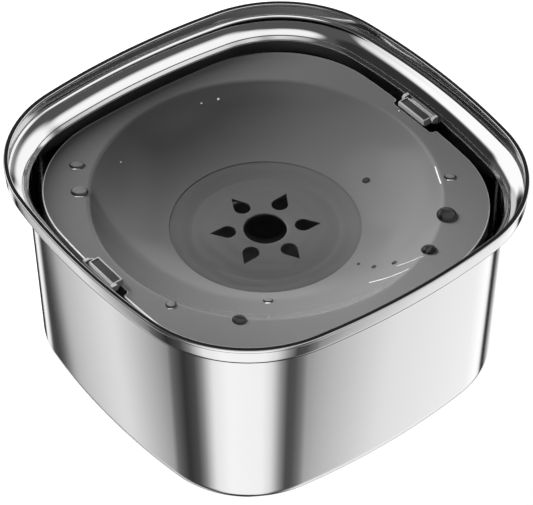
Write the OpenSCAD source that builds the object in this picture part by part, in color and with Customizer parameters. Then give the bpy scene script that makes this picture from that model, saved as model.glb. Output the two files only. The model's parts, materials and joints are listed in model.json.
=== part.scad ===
// No-spill pet bowl: a deep-drawn steel bowl, a hollow float with a drinking dish, and two flip-up clips.
// The origin is on the floor under the middle of the bowl, +Z is up, and the clips lie on the X axis.

/* [Bowl] */
// Half of the width across the flats, at the outside of the rim
rim_half = 120; // [110:0.5:135]
// Radius of the gently bowed sides, at the rim
side_bow = 409; // [350:1:600]
// Radius of the corners, at the rim
corner_r = 70; // [60:0.5:80]
// Height of the steel shell
shell_h = 126.5; // [110:0.5:150]
// Thickness of the steel sheet
steel_t = 1; // [0.8:0.1:1.4]
// How much further in the wall stands at the base than under the shoulder
draft = 3.3; // [1:0.1:6]
// Inside radius between wall and floor
base_r = 8; // [4:0.5:14]

/* [Rim] */
// Height of the upright band from the rim down to the shoulder
band_h = 10; // [7:0.5:14]
// How far the band stands out past the wall
shoulder_w = 11; // [9:0.5:14]
// Fall of the shoulder from the band to the wall
shoulder_drop = 7.5; // [5:0.5:10]
// Slope of the shoulder next to the band, in degrees
ledge_slope = 18; // [14:1:26]
// Width of the rolled bead along the top
bead_w = 2.8; // [2.4:0.1:4]
// Height of the rolled bead
bead_h = 2.4; // [2:0.1:3.5]
// How far the bead stands out past the band
bead_out = 0.5; // [0.3:0.1:0.9]

/* [Feet] */
// Radius of a foot pad
foot_r = 11; // [6:0.5:16]
// Height of a foot pad
foot_h = 1.5; // [1:0.1:4]
// How far a foot stands out past the centre of its corner's round
foot_shift = 15; // [8:0.5:20]

/* [Float plate] */
// Depth of the plate's top below the rim, when the bowl is full
float_depth = 20.6; // [20:0.1:30]
// Gap between the plate's edge and the steel wall, when the bowl is full
float_gap = 4.4; // [3.8:0.1:8]
// Radius of the plate's bowed sides
plate_bow = 575; // [450:1:800]
// How much tighter the plate's corners are than the rim's
plate_corner_ease = 4.5; // [2:0.5:8]
// Thickness of the plate's walls
plate_t = 2.4; // [2:0.1:3]
// Radius of the plate's rounded top edge
edge_r = 1; // [0.8:0.1:2]
// Depth of the skirt under the plate's edge
skirt_h = 9; // [6:0.5:12]
// Thickness of the skirt
skirt_t = 2; // [1.5:0.1:2.5]

/* [Dish and well] */
// Radius of the roll-over from the plate's top into the dish
roll_r = 4; // [3:0.5:6]
// Slope of the dish below its edge, in degrees
dish_slope = 45; // [40:1:50]
// Slope of the dish where it meets the well, in degrees
dish_end_slope = 10.6; // [6:0.2:16]
// Radius of the well in the middle of the dish
well_r = 52.3; // [48:0.1:58]
// Depth of the well below the dish
well_depth = 3.3; // [2:0.1:5]
// How far the well's wall leans in, from its edge to its floor
well_lean = 3.9; // [3:0.1:6]
// Radius of the round hole in the middle
hole_r = 11.35; // [8:0.05:13]
// Number of petal holes
petals = 6; // [4:1:8]
// Distance of a petal's point from the middle
petal_tip = 29.5; // [26:0.5:36]
// Distance of a petal's round end from the middle
petal_start = 15.6; // [15:0.1:18]
// Width of a petal
petal_w = 9; // [6:0.1:9.5]

/* [Clip notches] */
// Half of the length of the notch under a clip
notch_half = 16; // [14.5:0.5:20]
// Depth of the notch
notch_depth = 3.7; // [3:0.1:5]
// Radius in the notch's corners
notch_r = 3; // [1.5:0.1:3]

/* [Float tray] */
// How far the tray reaches below the well
keel = 8.4; // [7:0.1:16]
// Thickness of the tray's walls
tray_t = 2.2; // [1.8:0.1:3]
// Inside radius between the tray's wall and floor
tray_r = 4; // [2:0.5:8]
// Thickness of the flat seals
seal_t = 1.2; // [0.8:0.1:2]
// Gap between the well and the tray's sleeve
sleeve_gap = 0.5; // [0.3:0.1:2]

/* [Float screws] */
// Radius of a screw's shank
screw_r = 1.5; // [1.2:0.05:2]
// Radius of a screw's head
screw_head_r = 2.8; // [2.4:0.1:3.4]
// Height of a screw's head
screw_head_h = 2; // [1.6:0.1:2.4]
// Length of a screw's shank
screw_l = 8; // [6:0.5:8.5]
// Wall of a boss around its screw
boss_wall = 2.1; // [1.6:0.1:3]

/* [Clips] */
// Length of a clip's flap along the wall
flap_l = 21.2; // [16:0.2:24]
// Thickness of the flap
flap_t = 4; // [3.4:0.1:4.4]
// Gap between the flap and the plate, when the bowl is full
flap_gap = 0.6; // [0.4:0.1:1.5]
// How far the flap reaches over the plate past its notch
flap_lap = 0.8; // [0.4:0.1:2]
// Width of the frame around the grip
flap_frame = 1; // [0.8:0.1:1.4]
// Thickness of the soft grip
grip_t = 0.7; // [0.4:0.1:0.8]
// How deep the grip lies below the frame
grip_sink = 0.5; // [0.2:0.1:0.6]
// Radius of the hinge pin
pin_r = 0.5; // [0.4:0.05:0.7]
// Radius of the flap's hinge barrel
barrel_r = 1; // [0.9:0.05:1.2]
// Thickness of the clip's wall plate
clip_plate_t = 0.8; // [0.6:0.1:1.2]
// Radius of the ears at both ends
ear_r = 2.3; // [2:0.1:2.6]
// Thickness of an ear
ear_t = 1.8; // [1.2:0.1:2.5]
// Thickness of the foam tape behind the wall plate
tape_t = 0.7; // [0.6:0.1:1.2]

/* [Hidden] */
$fn = 180;

// Corner arcs stand this much proud of the side arcs, so that the two cross cleanly
lap = 0.05;
// Largest step of an arc in a section, in degrees, and the most that its chords may stray from it
arc_step = 9;
arc_stray = 0.03;
// Play of a screw in its hole, of the pin in its barrel, and between flat pieces that seat on each other
screw_play = 0.1;
pin_play = 0.05;
seat_play = 0.02;
// Clearance between pieces that move past each other, and between the skirt and the tray
run_gap = 0.3;
tray_gap = 0.2;
// Overrun of a cutting shape past the face that it cuts
over = 1;

// Steel shell, measured in from the outside of the rim
wall_in = bead_out + shoulder_w;
neck_z = shell_h - band_h - shoulder_drop;
bead_r = 1;
bead_flat = 0.2;
neck_r = 3;
band_r = 3.5;
// The shoulder's crown, where its slope changes
ledge_share = 0.66;
ledge_w = ledge_share * shoulder_w;
crown_z = shell_h - band_h - ledge_w * tan(ledge_slope);
crown_r = shoulder_w;
corner_c = arc_centre(rim_half, side_bow, corner_r);
foot_at = corner_c + foot_shift;

// Float, measured from the plate's top
float_z = foot_h + shell_h - float_depth;
plate_half = rim_half - wall_in - steel_t - float_gap;
plate_corner = corner_r - plate_corner_ease;
plate_c = arc_centre(plate_half, plate_bow, plate_corner);
tray_in = notch_depth + skirt_t + tray_gap;
tray_half = plate_half - tray_in;
tray_corner = plate_corner - tray_in;
dish_land = 0.6;
dish_r = tray_half - tray_t - dish_land - roll_r * tan(dish_slope / 2);
dish_bow = (dish_r - well_r) / (sin(dish_slope) - sin(dish_end_slope));
dish_end = -dish_bow * (cos(dish_end_slope) - cos(dish_slope));
dish_leg = dish_bow * tan((dish_slope - dish_end_slope) / 2);
well_floor = dish_end - well_depth;
float_h = keel - well_floor;
well_edge_r = 0.8;
well_foot_r = 6;

// The plate's top from its border to the middle hole: distance from the axis, height, radius of the corner
plate_top = [
    [2 * rim_half, 0, 0],
    [dish_r, 0, roll_r],
    [dish_r - dish_leg * cos(dish_slope), -dish_leg * sin(dish_slope), dish_bow],
    [well_r, dish_end, well_edge_r],
    [well_r - well_lean, well_floor, well_foot_r],
    [0, well_floor, 0]
];

// Tray and seals, measured from the plate's top
tray_top = -plate_t - seal_t;
sleeve_r = well_r + plate_t + sleeve_gap;
collar_drop = 0.7;
collar_lap = 1.5;
collar_z = well_floor - collar_drop;
collar_r = sleeve_r + tray_t + collar_lap;
sleeve_top = collar_z - seal_t;
boss_r = screw_r + boss_wall;
pillar_h = 5;
boss_z = -float_h + pillar_h;
pillar_r = boss_r + screw_head_h;
head_room = 0.4;
tip_room = 0.3;
screw_seat = -float_h + screw_head_h + head_room;
boss_hole_top = screw_seat + screw_l + tip_room;
pillar_bite = 1;
screw_inner_at = sleeve_r + tray_t + pillar_r - pillar_bite;
screw_outer_at = (dish_r + plate_c * sqrt(2) + tray_corner) / 2;
screw_places = [for (q = [0 : 3]) each [
    [screw_outer_at * cos(90 * q + 45), screw_outer_at * sin(90 * q + 45)],
    [screw_inner_at * cos(90 * q), screw_inner_at * sin(90 * q)]
]];

// Clips, measured from the hinge axis: first number towards the middle of the bowl, second upwards
barrel_cover = 0.3;
axis_top = barrel_r + barrel_cover;
axis_z = float_z + flap_gap + flap_t - axis_top;
plate_back = -(barrel_r + run_gap + clip_plate_t);
plate_front = -(barrel_r + run_gap);
axis_x = wall_at(axis_z) - tape_t + plate_back;
flap_tip = axis_x - (plate_half - notch_depth - flap_lap);
flap_back = 0.8;
flap_low = axis_top - flap_t;
nose_r = 1.6;
brow_r = 0.7;
heel_r = 0.4;
base_low = flap_low - run_gap;
base_high = axis_top + run_gap + barrel_cover;
ledge_front = flap_back - run_gap;
ledge_top = -(barrel_r + run_gap);
clip_half = flap_l / 2 + run_gap + ear_t;
rib_w = 0.6;
cheek_w = 1.3 * flap_frame;
grip_start = flap_back + rib_w;
grip_end = flap_tip - flap_frame;
grip_half = flap_l / 2 - cheek_w;
pocket_z = axis_top - grip_sink - grip_t;

// Centre of a corner's round, on both axes, so that it runs smoothly into the bowed sides
function arc_centre(half, bow, corner) =
    let (k = bow - half, q = bow - corner) (sqrt(2 * q * q - k * k) - k) / 2;

// How far the inside of the wall stands from the middle of the bowl at a height
function wall_at(z) = rim_half - wall_in - steel_t - draft * (foot_h + neck_z - z) / neck_z;

// Direction from one point to the next, and the direction square to its left
function heading(a, b) = let (d = [b.x - a.x, b.y - a.y]) d / norm(d);
function left_of(u) = [-u.y, u.x];
function turning(u, v) = atan2(u.x * v.y - u.y * v.x, u * v);
function turned_by(v, angle) = [v.x * cos(angle) - v.y * sin(angle), v.x * sin(angle) + v.y * cos(angle)];

// The points of one corner of a path, rounded by its radius
function corner_points(a, b, c) =
    let (u = heading(a, b), angle = turning(u, heading(b, c)), r = b[2])
    r == 0 || abs(angle) < 1 ? [[b.x, b.y]] :
    let (start = [b.x, b.y] - u * r * tan(abs(angle) / 2),
         out = -left_of(u) * r * sign(angle),
         steps = ceil(abs(angle) / min(arc_step, 2 * acos(1 - arc_stray / r))))
    [for (i = [0 : steps]) start - out + turned_by(out, angle * i / steps)];

// A path of corners as points, with each corner rounded
function rounded(path) =
    let (last = len(path) - 1)
    [for (i = [0 : last]) each
        i == 0 || i == last ? [[path[i].x, path[i].y]] : corner_points(path[i - 1], path[i], path[i + 1])];

// A path of corners shifted to its left, with the radii to match
function shifted(path, by) =
    let (last = len(path) - 1)
    [for (i = [0 : last])
        let (u = heading(path[max(i - 1, 0)], path[max(i, 1)]),
             v = heading(path[min(i, last - 1)], path[min(i + 1, last)]),
             n = left_of(u), m = left_of(v),
             r = path[i][2])
        [path[i].x + by * (n.x + m.x) / (1 + n * m),
         path[i].y + by * (n.y + m.y) / (1 + n * m),
         r == 0 ? 0 : max(r - by * sign(turning(u, v)), 0.1)]];

// The part of a bowed side between its two corners, seen from above
module side_wedge(half, bow, corner) {
    c = arc_centre(half, bow, corner);
    spread = c / (c + bow - half);
    near = -over;
    far = half + over;
    polygon([
        [near, -(near + bow - half) * spread], [far, -(far + bow - half) * spread],
        [far, (far + bow - half) * spread], [near, (near + bow - half) * spread]
    ]);
}

// A square with round corners and bowed sides
module outline(half, bow, corner) {
    c = arc_centre(half, bow, corner);
    for (q = [0 : 3]) rotate(90 * q) {
        translate([c, c]) circle(r = corner + lap);
        intersection() {
            translate([half - bow, 0]) circle(r = bow);
            side_wedge(half, bow, corner);
        }
    }
}

// A section turned about an axis, drawn with its outline at zero and its inside to the left
module turn_about(r) {
    rotate_extrude() intersection() {
        translate([r, 0]) children();
        translate([0, -2 * shell_h]) square([2 * r, 4 * shell_h]);
    }
}

// A solid on that square outline, whose sides have the child as their section
module turned(half, bow, corner) {
    c = arc_centre(half, bow, corner);
    for (q = [0 : 3]) rotate(90 * q) {
        translate([c, c]) turn_about(corner + lap) children();
        intersection() {
            translate([half - bow, 0]) turn_about(bow) children();
            translate([0, 0, -2 * shell_h]) linear_extrude(4 * shell_h) side_wedge(half, bow, corner);
        }
    }
}

// The outside of the steel sheet from the middle of the floor to the bead
shell_outside = [
    [-2 * side_bow, 0, 0],
    [-wall_in - draft, 0, base_r + steel_t],
    [-wall_in, neck_z, neck_r],
    [-bead_out - ledge_w, crown_z, crown_r],
    [-bead_out, shell_h - band_h, band_r],
    [-bead_out, shell_h - bead_h, 0]
];

// Everything within the outside of the steel
module shell_body_section() {
    polygon(rounded(concat(shell_outside, [
        [0, shell_h - bead_h + bead_out, 0],
        [0, shell_h, bead_r],
        [-2 * side_bow, shell_h, 0]
    ])));
}

// The hollow of the bowl, open at the top
module shell_hollow_section() {
    inside = shifted(shell_outside, steel_t);
    step = bead_w - bead_out - steel_t;
    bead_end = -bead_w + bead_r + bead_flat;
    polygon(concat(
        rounded(concat(inside, [
            [-bead_w, shell_h - bead_h + step, 0],
            [-bead_w, shell_h, bead_r],
            [bead_end, shell_h, 0]
        ])),
        [[bead_end, shell_h + over], [-2 * side_bow, shell_h + over]]
    ));
}

module bowl_shell() {
    color("silver") translate([0, 0, foot_h]) difference() {
        turned(rim_half, side_bow, corner_r) shell_body_section();
        turned(rim_half, side_bow, corner_r) shell_hollow_section();
    }
}

// One silicone pad, in the corner that the quarter turn gives
module foot(quarter) {
    ease = foot_h / 3;
    color("dimgray") rotate(90 * quarter) translate([foot_at, foot_at])
        rotate_extrude() polygon([
            [0, 0], [foot_r - ease, 0], [foot_r, ease], [foot_r, foot_h], [0, foot_h]
        ]);
}

// Ground plan of a clip's notch, with eased corners at the plate's edge
module notch_plan(extra) {
    half = notch_half + extra;
    deep = plate_half - notch_depth - extra;
    r = notch_r + extra;
    ease = 1.5;
    edge = plate_half - notch_half * notch_half / (2 * plate_bow);
    for (side = [-1, 1]) scale([1, side]) {
        translate([deep + r, half - r]) circle(r = r);
        translate([deep, -over]) square([plate_half, half - r + over]);
        translate([deep + r, 0]) square([plate_half, half]);
        difference() {
            translate([edge - ease, half - over]) square([2 * ease, over + ease]);
            translate([edge - ease, half + ease]) circle(r = ease);
        }
    }
}

// Everything under the middle of the plate's thickness
module under_plate() {
    middle = rounded(shifted(plate_top, plate_t / 2));
    rotate_extrude() polygon(concat(middle, [[0, -float_h], [2 * rim_half, -float_h]]));
}

// Border with its skirt, before the dish is let in
module plate_border() {
    difference() {
        turned(plate_half, plate_bow, plate_corner) polygon(rounded([
            [-2 * plate_bow, -skirt_h, 0], [0, -skirt_h, 0], [0, 0, edge_r], [-2 * plate_bow, 0, 0]
        ]));
        translate([0, 0, -skirt_h - over]) linear_extrude(skirt_h + over - plate_t) difference() {
            outline(plate_half - skirt_t, plate_bow - skirt_t, plate_corner - skirt_t);
            for (side = [0, 180]) rotate(side) notch_plan(skirt_t);
        }
        translate([0, 0, -skirt_h - over]) cylinder(r = dish_r + roll_r, h = skirt_h + 2 * over);
        for (side = [0, 180]) rotate(side) translate([0, 0, -skirt_h - over])
            linear_extrude(skirt_h + 2 * over) notch_plan(0);
    }
}

// Roll-over, dish and well, with the flat collar that seats on the tray's sleeve
module dish_and_well() {
    top = rounded(plate_top);
    low = rounded(shifted(plate_top, plate_t));
    rotate_extrude() intersection() {
        polygon(concat(top, [for (i = [len(low) - 1 : -1 : 0]) low[i]]));
        translate([0, -float_h]) square([dish_r + roll_r + lap, 2 * float_h]);
    }
    intersection() {
        under_plate();
        translate([0, 0, collar_z]) difference() {
            cylinder(r = collar_r, h = float_h);
            translate([0, 0, -over]) cylinder(r = well_r, h = float_h + 2 * over);
        }
    }
}

// One drop-shaped hole, its point away from the middle
module petal_plan() {
    r = petal_w / 2;
    mid = petal_start + r;
    reach = petal_tip - mid;
    bite = acos(r / reach);
    translate([mid, 0]) circle(r = r);
    polygon([
        [petal_tip, 0], [mid + r * cos(bite), r * sin(bite)],
        [mid, 0], [mid + r * cos(bite), -r * sin(bite)]
    ]);
}

module float_plate() {
    color("gray") translate([0, 0, float_z]) difference() {
        union() {
            plate_border();
            dish_and_well();
            intersection() {
                under_plate();
                for (p = screw_places) translate([p.x, p.y, boss_z]) cylinder(r = boss_r, h = float_h);
            }
        }
        for (p = screw_places) translate([p.x, p.y, boss_z - over])
            cylinder(r = screw_r + seat_play, h = boss_hole_top - boss_z + over);
        translate([0, 0, well_floor - 2 * plate_t]) {
            cylinder(r = hole_r, h = 4 * plate_t);
            for (k = [0 : petals - 1]) rotate(90 + 360 * k / petals) linear_extrude(4 * plate_t) petal_plan();
        }
    }
}

// The tray's wall from the middle of its floor to its top edge
tray_outside = [
    [-2 * plate_bow, -float_h, 0], [0, -float_h, tray_r + tray_t], [0, tray_top, 0]
];

module float_tray() {
    inside = shifted(tray_outside, tray_t);
    color("dimgray") translate([0, 0, float_z]) difference() {
        union() {
            difference() {
                turned(tray_half, plate_bow - tray_in, tray_corner)
                    polygon(concat(rounded(tray_outside), [[-2 * plate_bow, tray_top]]));
                turned(tray_half, plate_bow - tray_in, tray_corner) polygon(concat(
                    rounded(inside), [[-tray_t, tray_top + over], [-2 * plate_bow, tray_top + over]]
                ));
            }
            translate([0, 0, -float_h]) cylinder(r = sleeve_r + tray_t, h = float_h + sleeve_top);
            for (p = screw_places) translate([p.x, p.y, -float_h])
                cylinder(r = pillar_r, h = pillar_h);
        }
        translate([0, 0, -float_h - over]) cylinder(r = sleeve_r, h = float_h + 2 * over);
        for (p = screw_places) translate([p.x, p.y, -float_h - over]) {
            cylinder(r = screw_r + screw_play, h = float_h);
            cylinder(r = screw_head_r + head_room, h = screw_seat + float_h + over);
        }
    }
}

module outer_seal() {
    color("black") translate([0, 0, float_z + tray_top]) linear_extrude(seal_t) difference() {
        outline(tray_half, plate_bow - tray_in, tray_corner);
        outline(tray_half - tray_t, plate_bow - tray_in - tray_t, tray_corner - tray_t);
    }
}

module inner_seal() {
    color("black") translate([0, 0, float_z + sleeve_top]) linear_extrude(seal_t) difference() {
        circle(r = sleeve_r + tray_t);
        circle(r = sleeve_r);
    }
}

module float_screws() {
    slot_w = 0.8;
    color("silver") for (p = screw_places) translate([p.x, p.y, float_z + screw_seat]) difference() {
        union() {
            cylinder(r = screw_r, h = screw_l);
            translate([0, 0, -screw_head_h]) cylinder(r = screw_head_r, h = screw_head_h);
        }
        for (turn = [0, 90]) rotate(turn) translate([-screw_r, -slot_w / 2, -screw_head_h - over])
            cube([2 * screw_r, slot_w, over + screw_head_h / 2]);
    }
}

// Places a clip's own frame, where x runs from the hinge axis towards the middle and y runs up, on one side
module clip_place(side) {
    rotate(side > 0 ? 0 : 180) translate([axis_x, 0, axis_z]) rotate([90, 0, 180]) children();
}

// A clip's section drawn out along the wall, evenly about the middle
module clip_run(half, start = 0) {
    if (start == 0) translate([0, 0, -half]) linear_extrude(2 * half) children();
    else for (end = [0, 1]) mirror([0, 0, end]) translate([0, 0, start]) linear_extrude(half - start) children();
}

module clip_base(side) {
    color("lightgray") clip_place(side) difference() {
        union() {
            clip_run(clip_half) polygon([
                [plate_back, base_low], [ledge_front, base_low], [ledge_front, ledge_top],
                [plate_front, ledge_top], [plate_front, base_high], [plate_back, base_high]
            ]);
            clip_run(clip_half, clip_half - ear_t) intersection() {
                translate([plate_back, -ear_r]) square([ear_r - plate_back, 2 * ear_r]);
                union() {
                    circle(r = ear_r);
                    translate([plate_back, -ear_r]) square([-plate_back, 2 * ear_r]);
                }
            }
        }
        clip_run(clip_half + over) circle(r = pin_r + seat_play);
    }
}

module clip_flap(side) {
    color("lightgray") clip_place(side) difference() {
        clip_run(flap_l / 2) {
            circle(r = barrel_r);
            polygon(rounded([
                [flap_tip / 2, flap_low, 0], [flap_tip, flap_low, nose_r], [flap_tip, axis_top, brow_r],
                [flap_back, axis_top, heel_r], [flap_back, flap_low, heel_r], [flap_tip / 2, flap_low, 0]
            ]));
        }
        clip_run(flap_l / 2 + over) circle(r = pin_r + pin_play);
        clip_run(grip_half) translate([grip_start, pocket_z])
            square([grip_end - grip_start, grip_sink + grip_t + over]);
    }
}

module clip_grip(side) {
    color("slategray") clip_place(side) clip_run(grip_half - seat_play)
        translate([grip_start + seat_play, pocket_z])
            square([grip_end - grip_start - 2 * seat_play, grip_t]);
}

module clip_pin(side) {
    color("silver") clip_place(side) clip_run(clip_half) circle(r = pin_r);
}

// Foam tape that fills the space between the flat wall plate and the bowed wall
module clip_tape(side) {
    low = axis_z + base_low;
    front = axis_x - plate_back;
    bow = side_bow - rim_half;
    reach = bow + wall_at(low) - seat_play;
    steps = 4;
    back = [for (i = [-steps : steps]) let (y = clip_half * i / steps) [sqrt(reach * reach - y * y) - bow, y]];
    color("black") rotate(side > 0 ? 0 : 180) translate([0, 0, low]) linear_extrude(flap_t + run_gap)
        polygon(concat(back, [[front, clip_half], [front, -clip_half]]));
}

bowl_shell();
foot(0);  // foot_1
foot(1);  // foot_2
foot(2);  // foot_3
foot(3);  // foot_4
float_plate();
float_tray();
outer_seal();
inner_seal();
float_screws();
clip_base(-1);  // clip_base_left
clip_flap(-1);  // clip_flap_left
clip_grip(-1);  // clip_grip_left
clip_pin(-1);  // clip_pin_left
clip_tape(-1);  // clip_tape_left
clip_base(1);  // clip_base_right
clip_flap(1);  // clip_flap_right
clip_grip(1);  // clip_grip_right
clip_pin(1);  // clip_pin_right
clip_tape(1);  // clip_tape_right
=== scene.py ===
"""Dresses the no-spill pet bowl and sets the studio it is photographed in."""
import json
import logging
from contextlib import contextmanager
from dataclasses import dataclass
from enum import Enum
from math import asin, atan2, cos, degrees, hypot, pi, radians, sin, sqrt, tan
from typing import Callable, Iterator

import bmesh
import bpy
from bmesh.types import BMEdge, BMFace
from bpy.types import Material, Node, NodeSocket, NodeTree, Object
from mathutils import Matrix, Vector

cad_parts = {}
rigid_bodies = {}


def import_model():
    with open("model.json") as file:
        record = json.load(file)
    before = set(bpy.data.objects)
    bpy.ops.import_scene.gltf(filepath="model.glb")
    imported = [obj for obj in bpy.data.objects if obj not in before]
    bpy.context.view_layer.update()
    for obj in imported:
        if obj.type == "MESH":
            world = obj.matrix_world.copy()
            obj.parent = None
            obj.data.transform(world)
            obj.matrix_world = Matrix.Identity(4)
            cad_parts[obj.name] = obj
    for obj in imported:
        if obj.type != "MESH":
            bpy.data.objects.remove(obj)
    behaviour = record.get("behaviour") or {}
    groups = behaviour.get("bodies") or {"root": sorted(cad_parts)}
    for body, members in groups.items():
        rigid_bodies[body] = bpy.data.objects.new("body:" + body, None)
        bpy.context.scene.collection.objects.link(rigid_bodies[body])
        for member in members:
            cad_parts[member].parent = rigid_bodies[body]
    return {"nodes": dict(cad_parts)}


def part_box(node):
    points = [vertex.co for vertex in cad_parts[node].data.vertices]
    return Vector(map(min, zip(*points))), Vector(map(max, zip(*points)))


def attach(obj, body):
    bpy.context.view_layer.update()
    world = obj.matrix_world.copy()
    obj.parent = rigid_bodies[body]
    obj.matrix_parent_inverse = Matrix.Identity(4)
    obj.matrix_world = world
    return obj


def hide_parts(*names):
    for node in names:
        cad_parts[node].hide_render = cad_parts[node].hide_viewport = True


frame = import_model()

LOG = logging.getLogger("pet_bowl")
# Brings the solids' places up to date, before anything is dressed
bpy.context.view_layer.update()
# Points closer than this are one point, in millimetres
MERGE = 0.004
# A test of a place in a mesh allows for this much, in metres
HAIR = 1e-6
# Edges that turn more than this stay crisp, in degrees
CRISP = 32.0
# A face or an edge with this share of a direction counts as having that direction
STRAIGHT = 0.99
# The bowl and the plate are square
SIDES = 4
# Sizes are read from the solids to this many places of a millimetre
PLACES = 3

# A place in the frame, in millimetres
Spot = tuple[float, float, float]
# Across and up, in millimetres
Point = tuple[float, float]
# Across, up and the radius of the rounded corner, in millimetres
Corner = tuple[float, float, float]


def mm(value: float) -> float:
    """Millimetres as metres."""
    return value / 1000.0


def solid_box(node: str) -> tuple[Spot, Spot]:
    """A solid's lowest and highest corners at rest, in millimetres."""
    low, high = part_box(node)
    return tuple(round(1000 * v, PLACES) for v in low), tuple(round(1000 * v, PLACES) for v in high)


# Where the solids lie that are modelled again
BOWL_LOW, BOWL_HIGH = solid_box("bowl_shell")
PLATE_HIGH = solid_box("float_plate")[1]
BASE_LOW, BASE_HIGH = solid_box("clip_base_right")
FLAP_LOW, FLAP_HIGH = solid_box("clip_flap_right")
PIN_LOW, PIN_HIGH = solid_box("clip_pin_right")


def linear(colour: str) -> tuple[float, float, float, float]:
    """A colour written as sRGB hex, as linear RGBA."""
    parts = [int(colour[at:at + 2], 16) / 255.0 for at in (1, 3, 5)]
    return (*[p / 12.92 if p <= 0.04045 else ((p + 0.055) / 1.055) ** 2.4 for p in parts], 1.0)


def facing(azimuth: float, elevation: float) -> Vector:
    """A direction by its angles from +X and from the horizon, in degrees."""
    flat = cos(radians(elevation))
    return Vector((cos(radians(azimuth)) * flat, sin(radians(azimuth)) * flat, sin(radians(elevation))))


def rounded(path: list[Corner], steps: int) -> list[Point]:
    """Rounds the corners of a section.

    Args:
        path: the corners.
        steps: flats in each rounded corner.

    Returns:
        The section's points.
    """
    points: list[Point] = []
    for at, (x, y, radius) in enumerate(path):
        here = Vector((x, y))
        if radius == 0 or at in (0, len(path) - 1):
            points.append((x, y))
            continue
        back = (Vector(path[at - 1][:2]) - here).normalized()
        on = (Vector(path[at + 1][:2]) - here).normalized()
        half = back.angle(on) / 2
        middle = here + (back + on).normalized() * radius / sin(half)
        first = here + back * radius / tan(half) - middle
        turn = pi - 2 * half
        side = 1.0 if back.x * on.y - back.y * on.x < 0 else -1.0
        for step in range(steps + 1):
            spot = middle + Matrix.Rotation(side * turn * step / steps, 2) @ first
            points.append((spot.x, spot.y))
    return points


def beside(path: list[Corner], by: float) -> list[Corner]:
    """A section that runs beside another at an even distance.

    Args:
        path: the other section's corners.
        by: how far to the left of it the new one lies, in millimetres.

    Returns:
        The new corners, with radii to match.
    """
    spots = [Vector(corner[:2]) for corner in path]
    ways = [(after - before).normalized() for before, after in zip(spots, spots[1:])]
    corners = []
    for at, (x, y, radius) in enumerate(path):
        u = ways[max(at - 1, 0)]
        v = ways[min(at, len(ways) - 1)]
        shift = (Vector((-u.y, u.x)) + Vector((-v.y, v.x))) * by / (1 + u.dot(v))
        side = 1.0 if u.x * v.y - u.y * v.x > 0 else -1.0
        corners.append((x + shift.x, y + shift.y, max(radius - side * by, 0) if radius else 0))
    return corners


def deselect() -> None:
    """Leaves every object unselected."""
    for piece in bpy.context.view_layer.objects:
        piece.select_set(False)


def make_active(piece: Object) -> None:
    """Selects one piece alone.

    Args:
        piece: the object.
    """
    deselect()
    piece.select_set(True)
    bpy.context.view_layer.objects.active = piece


@contextmanager
def editing(piece: Object, mode: str = "VERT") -> Iterator[None]:
    """Edit mode on one piece, with everything as it was selected.

    Args:
        piece: the object.
        mode: what is selected by hand: VERT, EDGE or FACE.
    """
    make_active(piece)
    bpy.ops.object.mode_set(mode="EDIT")
    bpy.ops.mesh.select_mode(type=mode)
    try:
        yield
    finally:
        bpy.ops.object.mode_set(mode="OBJECT")


class Kind(Enum):
    """What a test picks in edit mode."""
    EDGES = "edges"
    FACES = "faces"


def pick(piece: Object, kind: Kind, test: Callable[[BMEdge | BMFace], bool]) -> None:
    """Selects the edges or faces that pass a test, in edit mode.

    Args:
        piece: the object in edit mode.
        kind: what is tested.
        test: says whether one of them is selected.
    """
    bpy.ops.mesh.select_all(action="DESELECT")
    mesh = bmesh.from_edit_mesh(piece.data)
    for element in getattr(mesh, kind.value):
        if test(element):
            element.select_set(True)
    mesh.select_flush(True)
    bmesh.update_edit_mesh(piece.data)


def edge_middle(edge: BMEdge) -> Vector:
    """The middle of an edge."""
    return (edge.verts[0].co + edge.verts[1].co) / 2


def edge_way(edge: BMEdge) -> Vector:
    """The direction of an edge, without its sign."""
    along = (edge.verts[1].co - edge.verts[0].co).normalized()
    return Vector([abs(value) for value in along])


def named(name: str) -> Object:
    """Names the object that was just added.

    Args:
        name: the name of the object and of its mesh.

    Returns:
        The object.
    """
    piece = bpy.context.active_object
    piece.name = name
    piece.data.name = name
    return piece


def vertex(name: str, spot: Vector) -> Object:
    """A mesh of one vertex.

    Args:
        name: the object's name.
        spot: where the vertex is, in metres.

    Returns:
        The object.
    """
    deselect()
    bpy.ops.mesh.primitive_plane_add(size=mm(1), location=(0, 0, 0))
    piece = named(name)
    with editing(piece):
        bpy.ops.mesh.select_all(action="SELECT")
        bpy.ops.mesh.merge(type="CENTER")
        bpy.ops.transform.translate(value=spot)
    return piece


def block(name: str, low: Vector, high: Vector) -> Object:
    """A box between two corners.

    Args:
        name: the object's name.
        low: its lowest corner, in millimetres.
        high: its highest corner, in millimetres.

    Returns:
        The object.
    """
    deselect()
    bpy.ops.mesh.primitive_cube_add(size=1, location=(0, 0, 0))
    piece = named(name)
    with editing(piece):
        bpy.ops.mesh.select_all(action="SELECT")
        bpy.ops.transform.resize(value=(high - low) / 1000)
        bpy.ops.transform.translate(value=(low + high) / 2000)
    return piece


def rod(name: str, middle: Vector, radius: float, length: float, sides: int) -> Object:
    """A cylinder along Y.

    Args:
        name: the object's name.
        middle: its middle, in millimetres.
        radius: its radius in millimetres.
        length: its length in millimetres.
        sides: flats round it.

    Returns:
        The object.
    """
    deselect()
    bpy.ops.mesh.primitive_cylinder_add(
        vertices=sides, radius=mm(radius), depth=mm(length), location=(0, 0, 0))
    piece = named(name)
    with editing(piece):
        bpy.ops.mesh.select_all(action="SELECT")
        bpy.ops.transform.rotate(value=pi / 2, orient_axis="X", center_override=(0, 0, 0))
        bpy.ops.transform.translate(value=middle / 1000)
    return piece


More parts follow.
